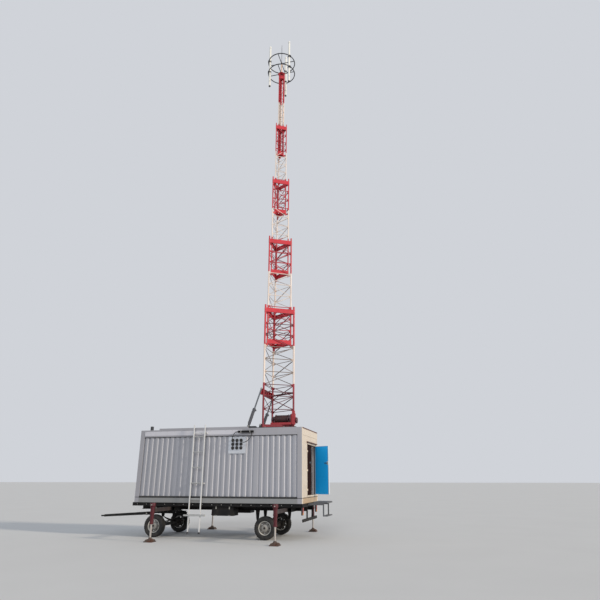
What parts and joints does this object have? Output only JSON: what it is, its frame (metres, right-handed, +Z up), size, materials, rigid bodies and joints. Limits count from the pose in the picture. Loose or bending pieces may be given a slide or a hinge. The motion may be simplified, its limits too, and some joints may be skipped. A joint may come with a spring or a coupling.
{
  "type": "telescopic lattice radio mast on a box-shelter trailer",
  "caption": "Telescopic triangular lattice radio mast that tilts and extends above a ribbed box shelter on a two-axle trailer with jack outriggers, doors and antenna head.",
  "frame": {"origin": "on the ground, under the middle of the whole outline", "axes": "+Z up along the mast, +X towards the doors, -X towards the drawbar, -Y the ladder side"},
  "size_m": [8.768, 4.93, 21.86],
  "materials": {
    "shelter_paint": "satin",
    "cream_paint": "satin",
    "brown_paint": "satin",
    "blue_paint": "satin",
    "floor_board": "matte",
    "galvanised": "matte",
    "ladder_paint": "satin",
    "port_rubber": "matte",
    "black_paint": "satin",
    "dark_steel": "satin",
    "cable_jacket": "satin",
    "lamp_lens": "gloss",
    "red_paint": "satin",
    "grey_paint": "satin",
    "chrome_steel": "polished",
    "radome_white": "satin",
    "tyre_rubber": "matte",
    "rim_paint": "satin"
  },
  "bodies": {
    "trailer_body": {"corner_posts": "shelter_paint", "bottom_rails": "shelter_paint", "top_rails": "shelter_paint", "floor": "floor_board", "roof": "shelter_paint", "near_wall": "shelter_paint", "far_wall": "shelter_paint", "drawbar_end_wall": "shelter_paint", "door_end_wall": "cream_paint", "door_head_and_sill": "cream_paint", "door_hood": "brown_paint", "entry_step": "galvanised", "ladder": "ladder_paint", "port_panel": "port_rubber", "cable_tray": "black_paint", "mast_rest": "black_paint", "roof_coaming": "shelter_paint", "mast_roof_frame": "dark_steel", "feeder_cable_top": "cable_jacket", "feeder_cable_side": "cable_jacket", "chassis_frame": "black_paint", "rear_axle": "dark_steel", "rear_bumper": "black_paint", "tail_lamps": "lamp_lens", "tool_boxes": "black_paint"},
    "door_far": {"door_leaf_far": "blue_paint"},
    "door_near": {"door_leaf_near": "brown_paint"},
    "mast_1": {"mast_section_1": "red_paint", "winch": "red_paint"},
    "mast_2": {"mast_section_2": "red_paint"},
    "mast_3": {"mast_section_3": "red_paint"},
    "mast_4": {"mast_section_4": "red_paint"},
    "mast_5": {"mast_section_5": "red_paint", "antenna_frame": "dark_steel", "antennas": "radome_white"},
    "tilt_barrel_near": {"tilt_barrel_near": "grey_paint"},
    "tilt_rod_near": {"tilt_rod_near": "chrome_steel"},
    "tilt_barrel_far": {"tilt_barrel_far": "grey_paint"},
    "tilt_rod_far": {"tilt_rod_far": "chrome_steel"},
    "bogie": {"front_bogie": "dark_steel"},
    "drawbar": {"drawbar": "black_paint"},
    "arm_front_near": {"outrigger_arm_front_near": "red_paint"},
    "jack_front_near": {"jack_leg_front_near": "chrome_steel"},
    "wheel_front_near": {"tyre_front_near": "tyre_rubber", "rim_front_near": "rim_paint"},
    "arm_front_far": {"outrigger_arm_front_far": "red_paint"},
    "jack_front_far": {"jack_leg_front_far": "chrome_steel"},
    "wheel_front_far": {"tyre_front_far": "tyre_rubber", "rim_front_far": "rim_paint"},
    "arm_rear_near": {"outrigger_arm_rear_near": "red_paint"},
    "jack_rear_near": {"jack_leg_rear_near": "chrome_steel"},
    "wheel_rear_near": {"tyre_rear_near": "tyre_rubber", "rim_rear_near": "rim_paint"},
    "arm_rear_far": {"outrigger_arm_rear_far": "red_paint"},
    "jack_rear_far": {"jack_leg_rear_far": "chrome_steel"},
    "wheel_rear_far": {"tyre_rear_far": "tyre_rubber", "rim_rear_far": "rim_paint"}
  },
  "joints": [
    {"name": "mast_tilt", "type": "hinge", "parent": "trailer_body", "child": "mast_1", "pos_m": [2.036, 0, 3.72], "axis": [0, 1, 0], "range_deg": [-90, 0]},
    {"name": "section_2_slide", "type": "slide", "parent": "mast_1", "child": "mast_2", "axis": [0, 0, 1], "range_m": [-2.5, 0]},
    {"name": "section_3_slide", "type": "slide", "parent": "mast_2", "child": "mast_3", "axis": [0, 0, 1], "range_m": [-2.5, 0]},
    {"name": "section_4_slide", "type": "slide", "parent": "mast_3", "child": "mast_4", "axis": [0, 0, 1], "range_m": [-2.5, 0]},
    {"name": "section_5_slide", "type": "slide", "parent": "mast_4", "child": "mast_5", "axis": [0, 0, 1], "range_m": [-2.5, 0]},
    {"name": "barrel_pivot_near", "type": "hinge", "parent": "trailer_body", "child": "tilt_barrel_near", "pos_m": [1.646, -0.77, 3.676], "axis": [0, 1, 0], "range_deg": [-103, 0]},
    {"name": "rod_slide_near", "type": "slide", "parent": "tilt_barrel_near", "child": "tilt_rod_near", "axis": [0.324, 0, 0.9461], "range_m": [-0.51, 0]},
    {"name": "barrel_pivot_far", "type": "hinge", "parent": "trailer_body", "child": "tilt_barrel_far", "pos_m": [1.646, 0.77, 3.676], "axis": [0, 1, 0], "range_deg": [-103, 0]},
    {"name": "rod_slide_far", "type": "slide", "parent": "tilt_barrel_far", "child": "tilt_rod_far", "axis": [0.324, 0, 0.9461], "range_m": [-0.51, 0]},
    {"name": "door_far_hinge", "type": "hinge", "parent": "trailer_body", "child": "door_far", "pos_m": [3.73, 0.881, 1.4], "axis": [0, 0, 1], "range_deg": [-63, 40]},
    {"name": "door_near_hinge", "type": "hinge", "parent": "trailer_body", "child": "door_near", "pos_m": [3.73, -0.429, 1.4], "axis": [0, 0, 1], "range_deg": [-110, 0]},
    {"name": "steering", "type": "hinge", "parent": "trailer_body", "child": "bogie", "pos_m": [-1.607, 0, 0.8], "axis": [0, 0, 1], "range_deg": [-40, 40]},
    {"name": "drawbar_lift", "type": "hinge", "parent": "bogie", "child": "drawbar", "pos_m": [-2.224, 0, 0.72], "axis": [0, 1, 0], "range_deg": [0, 10]},
    {"name": "wheel_front_near_spin", "type": "hinge", "parent": "bogie", "child": "wheel_front_near", "pos_m": [-1.607, -0.95, 0.363], "axis": [0, 1, 0], "continuous": true},
    {"name": "arm_front_near_slide", "type": "slide", "parent": "trailer_body", "child": "arm_front_near", "axis": [0, 1, 0], "range_m": [0, 0.85]},
    {"name": "jack_front_near_screw", "type": "slide", "parent": "arm_front_near", "child": "jack_front_near", "axis": [0, 0, 1], "range_m": [0, 0.2]},
    {"name": "wheel_front_far_spin", "type": "hinge", "parent": "bogie", "child": "wheel_front_far", "pos_m": [-1.607, 0.95, 0.363], "axis": [0, 1, 0], "continuous": true},
    {"name": "arm_front_far_slide", "type": "slide", "parent": "trailer_body", "child": "arm_front_far", "axis": [0, -1, 0], "range_m": [0, 0.85]},
    {"name": "jack_front_far_screw", "type": "slide", "parent": "arm_front_far", "child": "jack_front_far", "axis": [0, 0, 1], "range_m": [0, 0.2]},
    {"name": "wheel_rear_near_spin", "type": "hinge", "parent": "trailer_body", "child": "wheel_rear_near", "pos_m": [2.416, -0.95, 0.363], "axis": [0, 1, 0], "continuous": true},
    {"name": "arm_rear_near_slide", "type": "slide", "parent": "trailer_body", "child": "arm_rear_near", "axis": [0, 1, 0], "range_m": [0, 0.85]},
    {"name": "jack_rear_near_screw", "type": "slide", "parent": "arm_rear_near", "child": "jack_rear_near", "axis": [0, 0, 1], "range_m": [0, 0.2]},
    {"name": "wheel_rear_far_spin", "type": "hinge", "parent": "trailer_body", "child": "wheel_rear_far", "pos_m": [2.416, 0.95, 0.363], "axis": [0, 1, 0], "continuous": true},
    {"name": "arm_rear_far_slide", "type": "slide", "parent": "trailer_body", "child": "arm_rear_far", "axis": [0, -1, 0], "range_m": [0, 0.85]},
    {"name": "jack_rear_far_screw", "type": "slide", "parent": "arm_rear_far", "child": "jack_rear_far", "axis": [0, 0, 1], "range_m": [0, 0.2]}
  ],
  "couplings": [
    {"joint": "section_3_slide", "follows": "section_2_slide", "ratio": 1},
    {"joint": "section_4_slide", "follows": "section_2_slide", "ratio": 1},
    {"joint": "section_5_slide", "follows": "section_2_slide", "ratio": 1},
    {"joint": "barrel_pivot_near", "follows": "mast_tilt", "ratio": 1.1352},
    {"joint": "rod_slide_near", "follows": "mast_tilt", "m_per_rad": 0.32009},
    {"joint": "barrel_pivot_far", "follows": "mast_tilt", "ratio": 1.1352},
    {"joint": "rod_slide_far", "follows": "mast_tilt", "m_per_rad": 0.32009}
  ]
}
